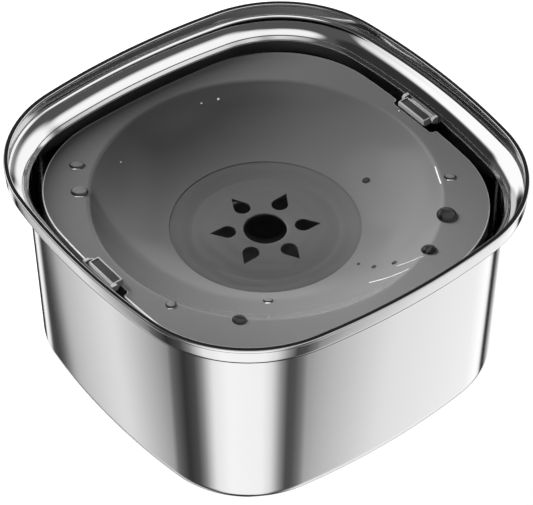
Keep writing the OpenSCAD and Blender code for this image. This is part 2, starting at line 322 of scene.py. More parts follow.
def joined(name: str, pieces: list[Object]) -> Object:
    """Joins pieces into one.

    Args:
        name: the new object's name.
        pieces: what is joined.

    Returns:
        The object.
    """
    make_active(pieces[0])
    for piece in pieces[1:]:
        piece.select_set(True)
    bpy.ops.object.join()
    return named(name)


def tidy_mesh(piece: Object) -> None:
    """Merges doubled points and turns every face outwards.

    Args:
        piece: the object.
    """
    with editing(piece):
        bpy.ops.mesh.select_all(action="SELECT")
        bpy.ops.mesh.remove_doubles(threshold=mm(MERGE))
        bpy.ops.mesh.normals_make_consistent(inside=False)


def smooth(piece: Object, angle: float = CRISP) -> None:
    """Shades a piece smooth, apart from edges that turn more than an angle in degrees."""
    make_active(piece)
    bpy.ops.object.shade_smooth_by_angle(angle=radians(angle))


def apply(piece: Object, kind: str, **settings: object) -> None:
    """Adds a modifier and applies it.

    Args:
        piece: the object it works on.
        kind: the modifier's type.
        settings: its values by name.
    """
    make_active(piece)
    modifier = piece.modifiers.new(kind.lower(), kind)
    for key, value in settings.items():
        setattr(modifier, key, value)
    bpy.ops.object.modifier_apply(modifier=modifier.name)


class Pen:
    """Draws a flat outline with extrusions and spins, one stroke after another."""

    def __init__(self, name: str, spot: Vector, heading: float) -> None:
        """Starts at a point.

        Args:
            name: the object's name.
            spot: the first point, in millimetres.
            heading: the way the first stroke leaves it, in degrees from +X.
        """
        self.spot = spot.copy()
        self.heading = heading
        self.piece = vertex(name, spot / 1000)

    def line(self, length: float) -> None:
        """A straight stroke.

        Args:
            length: its length in millimetres.
        """
        way = facing(self.heading, 0)
        with editing(self.piece):
            bpy.ops.mesh.extrude_region_move(TRANSFORM_OT_translate={"value": way * mm(length)})
        self.spot += way * length

    def arc(self, radius: float, turn: float, steps: int) -> None:
        """A round stroke that leaves the last one smoothly.

        Args:
            radius: its radius in millimetres.
            turn: how far it turns in degrees, to the left where positive.
            steps: its number of flats.
        """
        side = 1.0 if turn > 0 else -1.0
        centre = self.spot + facing(self.heading + side * 90, 0) * radius
        with editing(self.piece):
            bpy.ops.mesh.spin(
                steps=steps, angle=radians(abs(turn)), center=centre / 1000, axis=(0, 0, -side))
        self.spot = centre + Matrix.Rotation(radians(turn), 3, "Z") @ (self.spot - centre)
        self.heading += turn

    def fill(self) -> Object:
        """Closes the outline and fills it.

        Returns:
            The object, with one face that looks up.
        """
        with editing(self.piece):
            bpy.ops.mesh.select_all(action="SELECT")
            bpy.ops.mesh.remove_doubles(threshold=mm(MERGE))
            bpy.ops.mesh.edge_face_add()
        if self.piece.data.polygons[0].normal.z < 0:
            with editing(self.piece):
                bpy.ops.mesh.flip_normals()
        return self.piece


@dataclass(frozen=True)
class Outline:
    """A square with bowed sides and round corners, in millimetres."""
    half: float
    bow: float
    corner: float
    side_steps: int = 20
    corner_steps: int = 40

    def corner_centre(self) -> float:
        """Places the centre of a corner so that its arc meets the side's smoothly.

        Returns:
            How far the centre is from each axis.
        """
        k = self.bow - self.half
        q = self.bow - self.corner
        return (sqrt(2 * q * q - k * k) - k) / 2

    def sweep(self) -> float:
        """Half of the angle of a side's arc, in degrees."""
        c = self.corner_centre()
        return degrees(atan2(c, self.bow - self.half + c))

    def inset(self, by: float) -> "Outline":
        """The outline that lies inside this one by a distance."""
        return Outline(
            self.half - by, self.bow - by, self.corner - by, self.side_steps, self.corner_steps)

    def side_point(self, angle: float) -> Vector:
        """A point of the side that faces +X, by its angle on the arc in degrees."""
        away = radians(angle)
        return Vector((self.half - self.bow + self.bow * cos(away), self.bow * sin(away), 0))

    def pen(self, name: str, height: float) -> Pen:
        """A pen at the start of the side that faces +X, at a height in millimetres."""
        sweep = self.sweep()
        return Pen(name, self.side_point(-sweep) + Vector((0, 0, height)), 90 - sweep)

    def face(self, name: str, height: float) -> Object:
        """The outline as one flat face that looks up.

        Args:
            name: the object's name.
            height: its height in millimetres.

        Returns:
            The object.
        """
        sweep = self.sweep()
        pen = self.pen(name, height)
        for _ in range(SIDES):
            pen.arc(self.bow, 2 * sweep, self.side_steps)
            pen.arc(self.corner, 90 - 2 * sweep, self.corner_steps)
        return pen.fill()


def draw_in(piece: Object, path: list[Point]) -> None:
    """Carries a flat face along a section by insets.

    Args:
        piece: a mesh of one flat face, which ends as the last face of the section.
        path: points as (distance inside the first outline, height), in millimetres.
    """
    with editing(piece, "FACE"):
        bpy.ops.mesh.select_all(action="SELECT")
        for before, after in zip(path, path[1:]):
            bpy.ops.mesh.inset(
                thickness=mm(after[0] - before[0]), depth=mm(after[1] - before[1]), use_even_offset=True)


def drop_last_face(piece: Object) -> None:
    """Deletes the face that draw_in left selected."""
    with editing(piece, "FACE"):
        bpy.ops.mesh.delete(type="FACE")


def turned(name: str, path: list[Point], steps: int) -> Object:
    """Spins a section about the bowl's axis.

    Args:
        name: the object's name.
        path: points as (radius, height), in millimetres.
        steps: flats round the turn.

    Returns:
        The object, with its doubled seam merged.
    """
    piece = vertex(name, Vector((mm(path[0][0]), 0, mm(path[0][1]))))
    with editing(piece):
        for before, after in zip(path, path[1:]):
            move = Vector((mm(after[0] - before[0]), 0, mm(after[1] - before[1])))
            bpy.ops.mesh.extrude_region_move(TRANSFORM_OT_translate={"value": move})
        bpy.ops.mesh.select_all(action="SELECT")
        bpy.ops.mesh.spin(steps=steps, angle=2 * pi, center=(0, 0, 0), axis=(0, 0, 1))
        bpy.ops.mesh.select_all(action="SELECT")
        bpy.ops.mesh.remove_doubles(threshold=mm(MERGE))
    return piece


def add_node(tree: NodeTree, kind: str, inputs: dict | None = None, **settings: object) -> Node:
    """Adds a shader node.

    Args:
        tree: the node tree.
        kind: the node's type.
        inputs: values or output sockets by the input's name or place.
        settings: the node's own properties.

    Returns:
        The node.
    """
    node = tree.nodes.new(kind)
    for key, value in settings.items():
        setattr(node, key, value)
    for key, value in (inputs or {}).items():
        if isinstance(value, NodeSocket):
            tree.links.new(value, node.inputs[key])
        else:
            node.inputs[key].default_value = value
    return node


@dataclass(frozen=True)
class Finish:
    """One material: its colour, its gloss, its mottle and its fine grain."""
    name: str
    colour: str
    roughness: float
    metallic: float = 0.0
    specular: float = 0.5
    ior: float = 1.5
    coat: float = 0.0
    # How much of what lies behind it the surface hides
    cover: float = 1.0
    # Size of the cloudy patches in millimetres, and how far they change the colour and the roughness
    mottle_size: float = 16.667
    mottle: float = 0.04
    uneven: float = 0.08
    # Spacing and depth of the grain in millimetres, drawn coarser than the real one so that it shows
    grain: float = 0.4
    grain_depth: float = 0.02

    def material(self) -> Material:
        """Makes the material.

        Returns:
            The material, with a slight mottle and a fine grain.
        """
        made = bpy.data.materials.new(self.name)
        made.use_nodes = True
        tree = made.node_tree
        shader = tree.nodes["Principled BSDF"]
        levels = {
            "Metallic": self.metallic, "Specular IOR Level": self.specular, "IOR": self.ior,
            "Coat Weight": self.coat, "Alpha": self.cover}
        for key, value in levels.items():
            shader.inputs[key].default_value = value
        place = add_node(tree, "ShaderNodeTexCoord").outputs["Object"]
        cloud = add_node(
            tree, "ShaderNodeTexNoise",
            {"Vector": place, "Scale": 1 / mm(self.mottle_size), "Detail": 4.0})
        tone = add_node(
            tree, "ShaderNodeMapRange",
            {"Value": cloud.outputs["Fac"], "To Min": 1 - self.mottle, "To Max": 1 + self.mottle})
        colour = add_node(
            tree, "ShaderNodeVectorMath",
            {0: linear(self.colour)[:3], "Scale": tone.outputs["Result"]}, operation="SCALE")
        tree.links.new(colour.outputs[0], shader.inputs["Base Color"])
        tree.links.new(self.gloss(tree, place, cloud.outputs["Fac"]), shader.inputs["Roughness"])
        fine = add_node(
            tree, "ShaderNodeTexNoise",
            {"Vector": place, "Scale": 1 / mm(self.grain), "Detail": 2.0})
        bump = add_node(
            tree, "ShaderNodeBump",
            {"Height": fine.outputs["Fac"], "Strength": 1.0, "Distance": mm(self.grain_depth)})
        tree.links.new(bump.outputs["Normal"], shader.inputs["Normal"])
        return made

    def gloss(self, tree: NodeTree, place: NodeSocket, cloud: NodeSocket) -> NodeSocket:
        """The roughness, a little uneven.

        Args:
            tree: the node tree.
            place: the point on the piece, for a finish whose gloss changes over it.
            cloud: the mottle, from 0 to 1.

        Returns:
            The roughness's socket.
        """
        spread = add_node(
            tree, "ShaderNodeMapRange",
            {"Value": cloud, "To Min": self.roughness * (1 - self.uneven),
             "To Max": self.roughness * (1 + self.uneven)})
        return spread.outputs["Result"]


@dataclass(frozen=True)
class Steel(Finish):
    """Drawn stainless steel: a mirror on the rim and a softer polish on the wall."""
    uneven: float = 0.06
    wall_roughness: float = 0.1
    # The polish changes between these heights, in millimetres
    satin_top: float = 112.0
    mirror_from: float = 116.0

    def gloss(self, tree: NodeTree, place: NodeSocket, cloud: NodeSocket) -> NodeSocket:
        """The roughness by height, a little uneven.

        Args:
            tree: the node tree.
            place: the point on the piece.
            cloud: the mottle, from 0 to 1.

        Returns:
            The roughness's socket.
        """
        parts = add_node(tree, "ShaderNodeSeparateXYZ", {0: place})
        height = add_node(
            tree, "ShaderNodeMapRange",
            {"Value": parts.outputs["Z"], "From Min": mm(self.satin_top), "From Max": mm(self.mirror_from),
             "To Min": self.wall_roughness, "To Max": self.roughness})
        spread = add_node(
            tree, "ShaderNodeMapRange",
            {"Value": cloud, "To Min": 1 - self.uneven, "To Max": 1 + self.uneven})
        both = add_node(
            tree, "ShaderNodeMath", {0: height.outputs["Result"], 1: spread.outputs["Result"]},
            operation="MULTIPLY")
        return both.outputs[0]


@dataclass(frozen=True)
class Film(Finish):
    """The skin of standing water, with ripples round the middle, whose dark colour paints shade over the
    well's floor, most on one side; in millimetres.
    """
    # What the skin hides on the side of its most painted shade, across from there and over the middle hole.
    # Its two sides lie over each other, so the values are for one of them
    cover: float = 0.24
    far_cover: float = 0.055
    clear_cover: float = 0.025
    # The side where the skin paints the most shade, in degrees from +X, and how far out
    shaded_side: float = -128.0
    shaded_r: float = 52.0
    # It is clear over the middle hole
    clear_r: float = 9.0
    full_r: float = 12.0
    # Length of the ripples, and the share of the cover that they change
    wave: float = 9.0
    wave_share: float = 0.16
    # How far the ripples stray from round, and over what length
    stray: float = 9.0
    stray_size: float = 18.18

    def material(self) -> Material:
        """Makes the skin.

        Returns:
            The material, which lets the floor of the well show through.
        """
        made = super().material()
        tree = made.node_tree
        place = add_node(tree, "ShaderNodeTexCoord").outputs["Object"]
        flat = add_node(tree, "ShaderNodeVectorMath", {0: place, 1: (1, 1, 0)}, operation="MULTIPLY")
        reach = add_node(tree, "ShaderNodeVectorMath", {0: flat.outputs[0]}, operation="LENGTH")
        # The cover grows towards one side, to paint more shade there
        toward = add_node(
            tree, "ShaderNodeVectorMath", {0: place, 1: facing(self.shaded_side, 0)}, operation="DOT_PRODUCT")
        shade_ramp = add_node(
            tree, "ShaderNodeMapRange",
            {"Value": toward.outputs["Value"], "From Min": 0.0, "From Max": mm(self.shaded_r),
             "To Min": self.far_cover, "To Max": self.cover})
        cover = add_node(
            tree, "ShaderNodeMapRange",
            {"Value": reach.outputs["Value"], "From Min": mm(self.clear_r), "From Max": mm(self.full_r),
             "To Min": self.clear_cover, "To Max": shade_ramp.outputs["Result"]}, interpolation_type="SMOOTHSTEP")
        ripple = self.ripple(tree, place, reach.outputs["Value"])
        both = add_node(
            tree, "ShaderNodeMath", {0: cover.outputs["Result"], 1: ripple}, operation="MULTIPLY")
        tree.links.new(both.outputs[0], tree.nodes["Principled BSDF"].inputs["Alpha"])
        return made

    def ripple(self, tree: NodeTree, place: NodeSocket, reach: NodeSocket) -> NodeSocket:
        """Uneven rings round the middle.

        Args:
            tree: the node tree.
            place: the point on the skin.
            reach: its distance from the middle.

        Returns:
            The socket of what the cover is multiplied by.
        """
        cloud = add_node(
            tree, "ShaderNodeTexNoise",
            {"Vector": place, "Scale": 1 / mm(self.stray_size), "Detail": 3.0})
        astray = add_node(
            tree, "ShaderNodeMath", {0: cloud.outputs["Fac"], 1: mm(self.stray), 2: reach},
            operation="MULTIPLY_ADD")
        turns = add_node(
            tree, "ShaderNodeMath", {0: astray.outputs[0], 1: 2 * pi / mm(self.wave)}, operation="MULTIPLY")
        wave = add_node(tree, "ShaderNodeMath", {0: turns.outputs[0]}, operation="SINE")
        share = add_node(
            tree, "ShaderNodeMath", {0: wave.outputs[0], 1: self.wave_share, 2: 1.0},
            operation="MULTIPLY_ADD")
        return share.outputs[0]


class Finishes:
    """The materials of the bowl, each made once."""

    def __init__(self) -> None:
        """Settles what each of them is."""
        # Deep-drawn stainless steel, polished on a wheel: a mirror with a faint wave of the sheet in it
        self.steel = Steel(
            "polished stainless steel", "#d2d2d2", 0.035, metallic=1.0, mottle=0.01,
            grain=3.0, grain_depth=0.0006)
        # Painted shade on the same steel: a fine, dull, dark line under each roll, on the faces that look
        # down
        self.painted_under_shade = Finish("steel painted with shade", "#181818", 0.6, specular=0.1)
        # ABS from a polished mould: an even mid grey that shines only at a low angle
        self.plate = Finish(
            "gloss moulded ABS", "#5c5c5c", 0.14, specular=0.2, mottle=0.02, grain=0.8, grain_depth=0.0015)
        # The same ABS on the rounded edge: a pale colour paints a thin highlight round the plate, over its
        # own bright gloss
        self.edge = Finish("ABS edge with painted highlight", "#d0d0d0", 0.08, specular=1.0, ior=2.6, coat=1.0)
        # Dark ABS from a plain mould, matt: the tray's colour, and painted shade on the walls of the
        # plate's holes, so that the holes look deep
        self.tray = Finish("matt moulded ABS and painted hole shade", "#3a3a3a", 0.5)
        # Nylon from a fine-grained mould: pale and satin, with soft light along its edges
        self.clip = Finish("satin moulded nylon", "#9c9c9c", 0.42, grain=0.3, grain_depth=0.008)
        # Moulded rubber: dark and dull inside the flap's pale border
        self.grip = Finish("moulded grip rubber", "#343434", 0.7, specular=0.3)
        # Moulded silicone: mid grey with a weak, wide shine
        self.silicone = Finish("moulded silicone", "#5a5a5a", 0.6, specular=0.35)
        # Cut foam tape: grey and quite matt, with its cells showing
        self.foam = Finish("cut foam tape", "#6a6a6a", 0.95, specular=0.1, grain=0.6, grain_depth=0.08)
        # Turned steel of the screws and pins: bright, with blurred reflections
        self.hardware = Finish("turned screw steel", "#c4c4c4", 0.28, metallic=1.0)
        # Still water in a full drop: its dark colour paints the shade seen in it, with one sharp light in
        # it from its gloss
        self.water = Finish("water in a full drop, painted dark", "#1c1c1c", 0.03, ior=1.33, cover=0.5)
        # Still water in a flat drop: mostly clear, so that the plate shows through, with a pale colour that
        # paints the light it gathers
        self.clear_water = Finish("water in a flat drop, painted pale", "#b4b4b4", 0.03, ior=1.33, cover=0.2)
        # Water on the steep side of a drop: a dark colour paints the ring of shade where it bends the light
        # away
        self.painted_drop_ring = Finish("painted dark ring at a drop's edge", "#101010", 0.03, ior=1.33, cover=0.75)
        # White paint for highlights: points on tiny drops, slivers beside clear drops and lines of painted
        # reflection on the dish
        self.spray = Finish("white of painted glints", "#f0f0f0", 0.05)
        # Water that stands in the well: a thin, rippled skin whose dark colour paints shade over the grey
        # of its floor, most on one side
        self.pool = Film("water in the well, painted dark as shade", "#303030", 0.05, ior=1.33)
        self.made: dict[str, Material] = {}

    def of(self, finish: Finish) -> Material:
        """The material of a finish.

        Args:
            finish: the finish.

        Returns:
            Its material, made at the first use.
        """
        if finish.name not in self.made:
            self.made[finish.name] = finish.material()
        return self.made[finish.name]

    def dress(self, piece: Object, *finishes: Finish) -> None:
        """Gives a piece its finishes.

        Args:
            piece: the object.
            finishes: the first covers it all, and the others wait for the faces that take them.
        """
        piece.data.materials.clear()
        for finish in finishes:
            piece.data.materials.append(self.of(finish))


def hand_over(piece: Object, body: str, nodes: list[str]) -> None:
    """Gives a finished piece its body and the solids it stands for.

    Args:
        piece: the finished object.
        body: the body it moves with.
        nodes: the solids it replaces.
    """
    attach(piece, body)
    if nodes:
        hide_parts(*nodes)
    LOG.info("%s: %d faces on %s", piece.name, len(piece.data.polygons), body)


@dataclass
class BowlShell:
    """The drawn steel bowl with its rolled bead, in millimetres inwards from the rim and up."""
    finishes: Finishes
    rim: Outline = Outline(half=BOWL_HIGH[0], bow=409.0, corner=70.0)
    rim_top: float = BOWL_HIGH[2]
    steel: float = 1.0
    bead_wide: float = 2.8
    bead_tall: float = 2.4
    bead_round: float = 0.55
    bead_top_flats: int = 8
    bead_under_flats: int = 12
    # The upright band under the bead
    band_in: float = 0.5
    band_low: float = 118.0
    band_round: float = 3.5
    # The shoulder's crown
    crown_in: float = 7.76
    crown_z: float = 115.64
    crown_round: float = 11.0
    # The fine crease in the neck
    crease_in: float = 10.2
    crease_z: float = 112.3
    crease_tall: float = 0.4
    crease_round: float = 0.15
    # The neck, where the wall begins
    neck_in: float = 11.5
    neck_z: float = 109.9
    neck_round: float = 1.0
    # The rounded foot, and the flat of the bottom inside it
    foot_in: float = 14.8
    foot_z: float = BOWL_LOW[2]
    foot_round: float = 9.0
    bottom_in: float = 41.8
    corner_flats: int = 10
    # What is above this height and leans down this far is painted dark as shade
    under_shade_from: float = 105.0
    under_shade_lean: float = -0.25

    def outside(self) -> list[Corner]:
        """The corners of the sheet's outside, from the middle of the bead to the bottom."""
        return [
            (self.band_in, self.rim_top - self.bead_tall / 2, 0),
            (self.band_in, self.band_low, self.band_round),
            (self.crown_in, self.crown_z, self.crown_round),
            (self.crease_in, self.crease_z, self.crease_round),
            (self.crease_in, self.crease_z - self.crease_tall, self.crease_round),
            (self.neck_in, self.neck_z, self.neck_round),
            (self.foot_in, self.foot_z, self.foot_round),
            (self.bottom_in, self.foot_z, 0)]

    def bead_top(self) -> list[Point]:
        """The bead's section over the top, which is nearly flat."""
        middle = self.rim_top - self.bead_tall / 2
        return rounded([
            (0, middle, 0), (0, self.rim_top, self.bead_round),
            (self.bead_wide, self.rim_top, self.bead_round), (self.bead_wide, middle, 0)],
            self.bead_top_flats)

    def bead_under(self) -> list[Point]:
        """The bead's section underneath.

        Returns:
            A half round, as points.
        """
        middle = self.rim_top - self.bead_tall / 2
        turns = [pi * at / self.bead_under_flats for at in range(self.bead_under_flats + 1)]
        return [(self.bead_wide / 2 * (1 - cos(t)), middle - self.bead_tall / 2 * sin(t)) for t in turns]

    def sheet(self, name: str, path: list[Point]) -> Object:
        """Carries the rim's outline along one section.

        Args:
            name: the object's name.
            path: the section.

        Returns:
            The object, closed by the section's last face.
        """
        piece = self.rim.inset(path[0][0]).face(name, path[0][1])
        draw_in(piece, path)
        return piece

    def build(self) -> Object:
        """Builds the shell.

        Returns:
            The sheet's outside and inside, closed along the rim, and the bead round them.
        """
        halves = [self.sheet("bead_top", self.bead_top()), self.sheet("bead_under", self.bead_under())]
        for half in halves:
            drop_last_face(half)
        bead = joined("bead", halves)
        tidy_mesh(bead)
        outer = rounded(self.outside(), self.corner_flats)
        inner = rounded(beside(self.outside(), self.steel), self.corner_flats)
        sheets = joined("sheets", [
            self.sheet("sheet_out", outer), self.sheet("sheet_in", [outer[0], *inner])])
        tidy_mesh(sheets)
        return joined("drawn_bowl", [sheets, bead])

    def dress(self) -> None:
        """Builds the shell and gives it its polish, and painted shade under the bead and the shoulder."""
        piece = self.build()
        smooth(piece)
        self.finishes.dress(piece, self.finishes.steel, self.finishes.painted_under_shade)
        # Faces that look down under the bead and the shoulder are painted dark as shade
        for face in piece.data.polygons:
            if face.center.z > mm(self.under_shade_from) and face.normal.z < self.under_shade_lean:
                face.material_index = 1
        hand_over(piece, "bowl", ["bowl_shell"])


@dataclass
class FloatPlate:
    """The moulded plate with its dish, well and holes, in millimetres."""
    finishes: Finishes
    edge: Outline = Outline(half=103.1, bow=575.0, corner=65.5, side_steps=12, corner_steps=32)
    top: float = PLATE_HIGH[2]
    thick: float = 1.4
    skirt: float = 9.0
    edge_round: float = 0.8
    # The flat that the border keeps beside its rounded edge
    edge_flat: float = 0.2
    edge_flats: int = 6
    # The notch under each clip
    notch_half: float = 16.0
    notch_x: float = 99.4
    notch_round: float = 1.8
    notch_ease: float = 1.5
    notch_flats: int = 6
    # The dish rolls over from the border, a share of the roll lying outside the dish's radius
    dish_r: float = 92.74
    roll_r: float = 4.0
    roll_share: float = 0.42
    roll_flats: int = 8
    # It then bows between two slopes, in degrees
    dish_bow: float = 77.3
    dish_steep: float = 45.0
    dish_flat: float = 10.6
    dish_flats: int = 24
    # The well, from its step down a leaning wall to its floor, which is measured from the top
    well_r: float = 52.3
    well_step: float = 0.2
    ledge_r: float = 49.8
    ledge_fall: float = 0.15
    ledge_round: float = 6.0
    foot_r: float = 39.0
    foot_round: float = 10.0
    well_floor: float = -24.62
    well_flats: int = 6
    # A point back up the dish, from which the well's step takes its slope
    lead_out: float = 4.0
    lead_up: float = 0.75
    hole_r: float = 11.35
    hole_edge: float = 0.8
    petals: int = 6
    petal_tip: float = 29.5
    petal_start: float = 15.6
    petal_wide: float = 9.0
    petal_flats: int = 20
    round_flats: int = 144
    # The edge with the painted highlight lies outside this radius and leans between these slopes
    edge_from: float = 97.0
    edge_steepest: float = 0.1
    edge_flattest: float = 0.98
    # A hole's wall, painted dark as shade, is steeper than this
    wall_lean: float = 0.3

    def section(self) -> list[Point]:
        """The dish from the border to the well.

        Returns:
            Points as (radius, height).
        """
        steep = radians(self.dish_steep)
        flat = radians(self.dish_flat)
        start = self.dish_r + self.roll_r * sin(steep) * self.roll_share
        points: list[Point] = []
        for at in range(self.roll_flats + 1):
            away = steep * at / self.roll_flats
            points.append((start - self.roll_r * sin(away), self.top - self.roll_r * (1 - cos(away))))
        last = points[-1]
        for at in range(1, self.dish_flats + 1):
            away = steep + (flat - steep) * at / self.dish_flats
            points.append((
                last[0] - self.dish_bow * (sin(steep) - sin(away)),
                last[1] - self.dish_bow * (cos(away) - cos(steep))))
        return points

    def well(self, edge: Point) -> list[Point]:
        """The well from the dish's end to the underside of the middle hole.

        Args:
            edge: the dish's last point.

        Returns:
            Points as (radius, height).
        """
        floor = self.top + self.well_floor
        ledge = edge[1] - self.well_step
        return rounded([
            (edge[0] + self.lead_out, edge[1] + self.lead_up, 0),
            (self.well_r, edge[1], self.well_step / 2),
            (self.well_r - self.well_step, ledge, self.well_step / 2),
            (self.ledge_r, ledge - self.ledge_fall, self.ledge_round),
            (self.foot_r, floor, self.foot_round),
            (self.hole_r, floor, self.hole_edge),
            (self.hole_r, floor - self.thick, 0)], self.well_flats)[1:]

    def outline(self) -> Object:
        """Draws the plate's outline at the foot of its skirt.

        Returns:
            One face, with a notch on the right and on the left.
        """
        sweep = self.edge.sweep()
        pen = self.edge.pen("plate_edge", self.top - self.skirt)
        for side in range(SIDES):
            if side % 2:
                pen.arc(self.edge.bow, 2 * sweep, self.edge.side_steps)
            else:
                self.notched_side(pen, sweep)
            pen.arc(self.edge.corner, 90 - 2 * sweep, self.edge.corner_steps)
        return pen.fill()

    def notched_side(self, pen: Pen, sweep: float) -> None:
        """Draws one side with its notch.

        Args:
            pen: the pen at the start of the side.
            sweep: half of the side's angle, in degrees.
        """
        part = degrees(asin((self.notch_half + self.notch_ease) / self.edge.bow))
        pen.arc(self.edge.bow, sweep - part, self.edge.side_steps // 2)
        pen.arc(self.notch_ease, 90 + part, self.notch_flats)
        straight = abs(pen.spot.x) - self.notch_x - self.notch_round
        pen.line(straight)
        pen.arc(self.notch_round, -90, self.notch_flats)
        pen.line(2 * abs(pen.spot.y))
        pen.arc(self.notch_round, -90, self.notch_flats)
        pen.line(straight)
        pen.arc(self.notch_ease, 90 + part, self.notch_flats)
        pen.arc(self.edge.bow, sweep - part, self.edge.side_steps // 2)

    def petal(self, number: int) -> Object:
        """Builds a cutter for one of the drop-shaped holes.

        Args:
            number: which of them, from 0.

        Returns:
            The cutter, which reaches through the well's floor.
        """
        radius = self.petal_wide / 2
        length = self.petal_tip - (self.petal_start + radius)
        lean = degrees(asin(radius / length))
        straight = sqrt(length ** 2 - radius ** 2)
        reach = 3 * self.thick
        pen = Pen(
            f"petal_{number}", Vector((self.petal_tip, 0, self.top + self.well_floor - reach)), 180 - lean)
        pen.line(straight)
        pen.arc(radius, 180 + 2 * lean, self.petal_flats)
        pen.line(straight)
        piece = pen.fill()
        turn = pi / 2 + 2 * pi * number / self.petals
        with editing(piece):
            bpy.ops.mesh.select_all(action="SELECT")
            bpy.ops.mesh.extrude_region_move(TRANSFORM_OT_translate={"value": (0, 0, mm(2 * reach))})
            bpy.ops.mesh.select_all(action="SELECT")
            bpy.ops.transform.rotate(value=turn, orient_axis="Z", center_override=(0, 0, 0))
            bpy.ops.mesh.normals_make_consistent(inside=False)
        return piece

    def skin(self) -> Object:
        """Builds the plate's upper skin, from the foot of the skirt to the middle hole.

        Returns:
            The skin, which looks up.
        """
        border = self.outline()
        draw_in(border, rounded([
            (0, self.top - self.skirt, 0), (0, self.top, self.edge_round),
            (self.edge_round + self.edge_flat, self.top, 0)], self.edge_flats))
        drop_last_face(border)
        section = self.section()
        dish = turned("dish", section + self.well(section[-1]), self.round_flats)
        piece = joined("plate_skin", [border, dish])
        level = mm(self.top) - HAIR
        with editing(piece, "EDGE"):
            pick(piece, Kind.EDGES, lambda edge: edge.is_boundary and edge_middle(edge).z > level)
            bpy.ops.mesh.bridge_edge_loops()
            bpy.ops.mesh.select_all(action="SELECT")
            bpy.ops.mesh.normals_make_consistent(inside=False)
        if sum(face.normal.z * face.area for face in piece.data.polygons) < 0:
            with editing(piece):
                bpy.ops.mesh.select_all(action="SELECT")
                bpy.ops.mesh.flip_normals()
        return piece

    def build(self) -> Object:
        """Builds the plate.

        Returns:
            The skin with its wall, cut by the petals.
        """
        piece = self.skin()
        apply(piece, "SOLIDIFY", thickness=mm(self.thick), offset=-1.0)
        cutters = joined("petals", [self.petal(number) for number in range(self.petals)])
        apply(piece, "BOOLEAN", object=cutters, operation="DIFFERENCE", solver="EXACT")
        bpy.data.objects.remove(cutters)
        return piece

    def dress(self) -> None:
        """Builds the plate and gives it its gloss, a painted highlight on its edge and painted shade on the
        holes' walls.
        """
        piece = self.build()
        piece.name = "float_top"
        smooth(piece)
        self.finishes.dress(piece, self.finishes.plate, self.finishes.edge, self.finishes.tray)
        for face in piece.data.polygons:
            away = hypot(face.center.x, face.center.y)
            # The rounded edge takes a pale colour, a painted highlight
            if away > mm(self.edge_from) and self.edge_steepest < face.normal.z < self.edge_flattest:
                face.material_index = 1
            # The holes' walls take dark ABS, painted shade
            elif away < mm(self.petal_tip) and abs(face.normal.z) < self.wall_lean:
                face.material_index = 2
        hand_over(piece, "float", ["float_plate"])

    def height(self, radius: float) -> tuple[float, float]:
        """The plate's height and slope under a point, by its radius.

        Args:
            radius: how far the point is from the axis, in millimetres.

        Returns:
            The height in millimetres and the slope in radians.
        """
        section = self.section()
        for (outer, high), (inner, low) in zip(section, section[1:]):
            if inner <= radius <= outer:
                share = (radius - inner) / (outer - inner)
                return low + (high - low) * share, atan2(high - low, outer - inner)
        return self.top, 0.0


class Side(Enum):
    """The side of the bowl that a clip is on."""
    RIGHT = "right"
    LEFT = "left"


